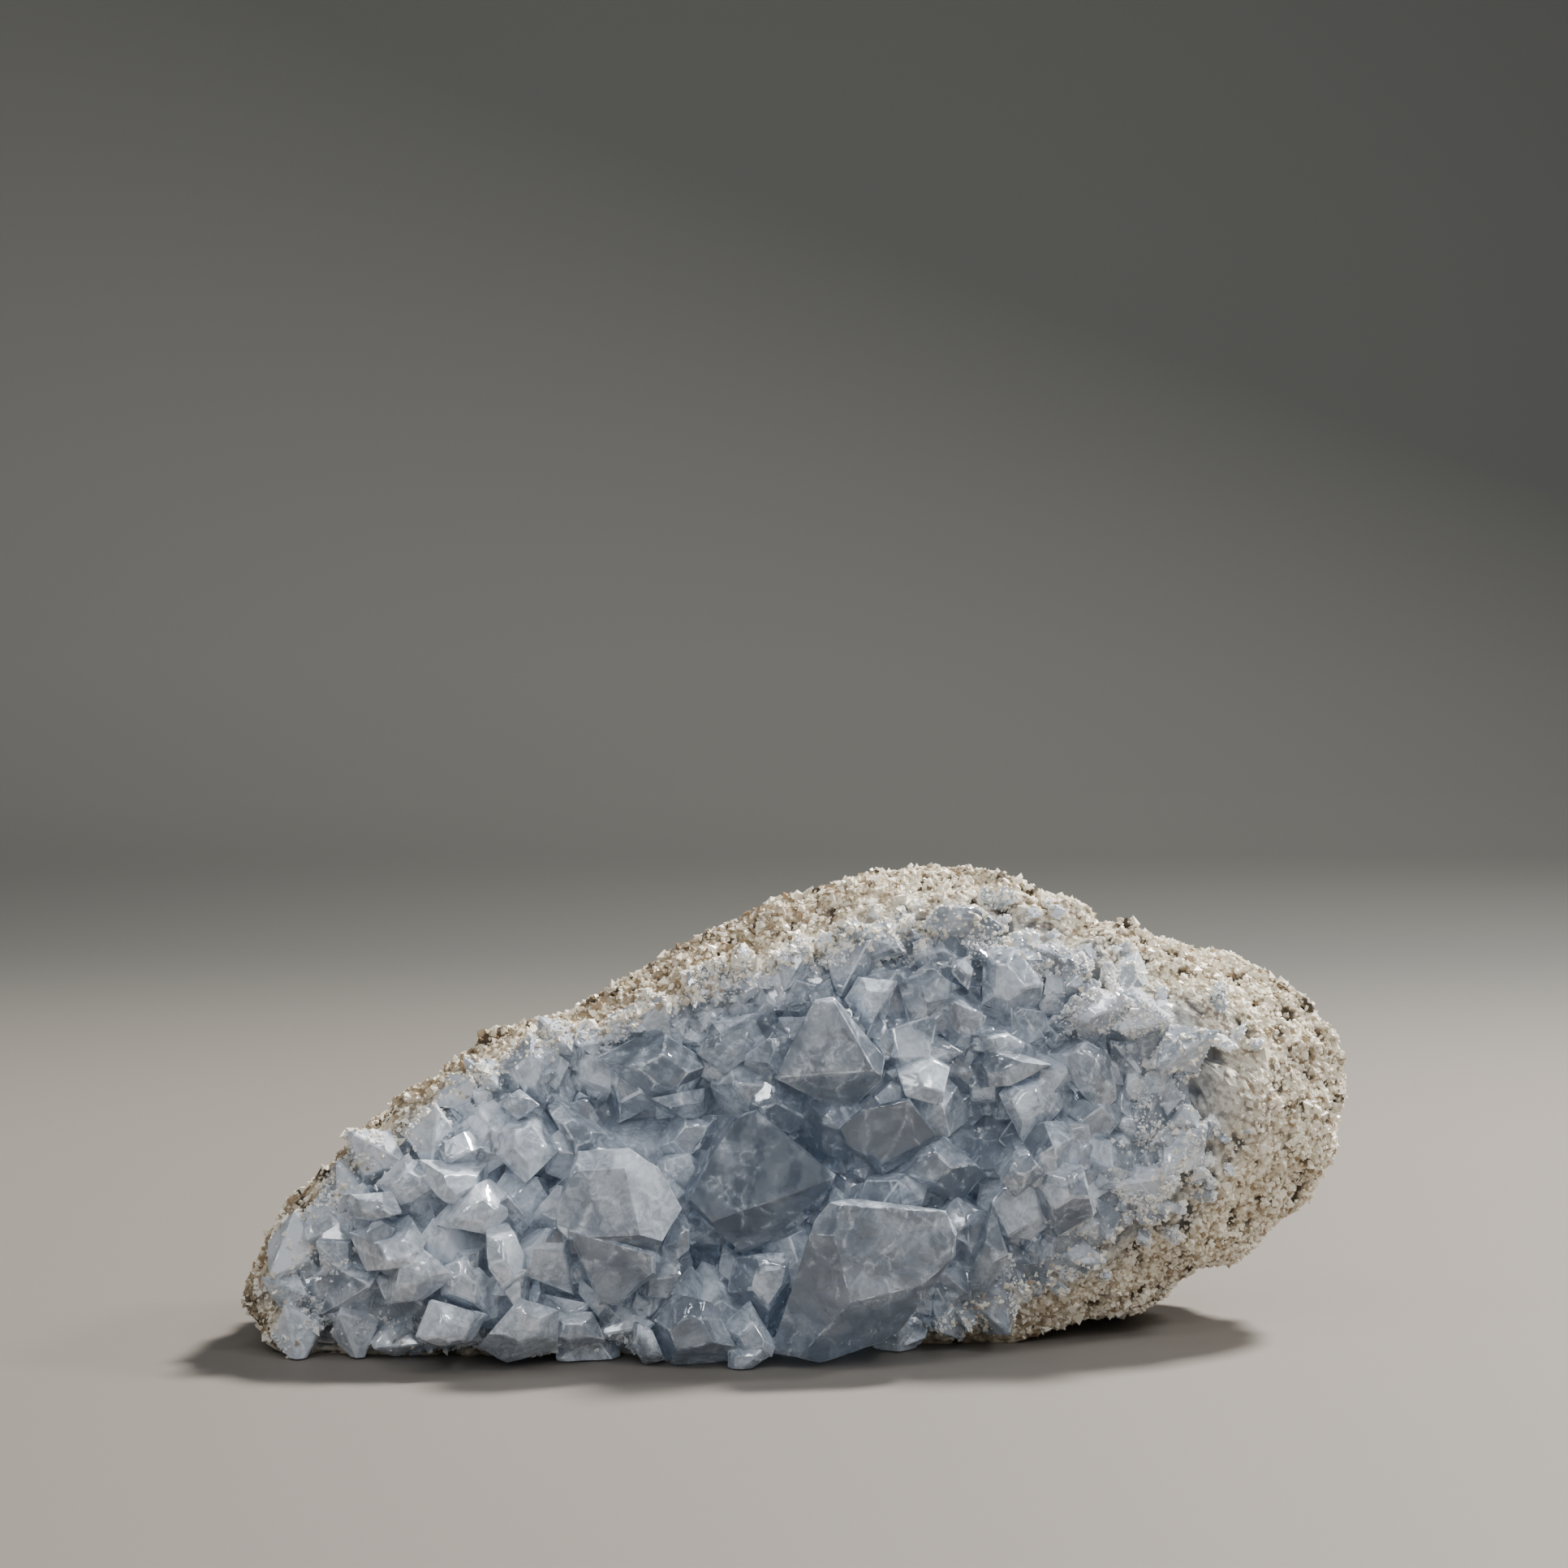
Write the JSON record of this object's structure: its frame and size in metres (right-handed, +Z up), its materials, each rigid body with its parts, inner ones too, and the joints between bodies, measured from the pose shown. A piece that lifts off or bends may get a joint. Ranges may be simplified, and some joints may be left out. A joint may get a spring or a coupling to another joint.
{
  "type": "celestite specimen",
  "caption": "Split geode piece: a rough tan rock, hollowed in front and lined with a crust of pale blue, see-through celestite crystals, resting on a small flat spot.",
  "frame": {"origin": "on the surface the specimen rests on, under the middle of its bounding box", "axes": "+Z up, +X to the right along the specimen's length, -Y out of the hollow towards the viewer"},
  "size_m": [0.1638, 0.0679, 0.0703],
  "materials": {
    "rough_rock": "rough granular",
    "blue_crystal": "glassy crystal faces"
  },
  "bodies": {
    "root": {"matrix": "rough_rock", "crystal_crust": "blue_crystal"}
  },
  "joints": []
}
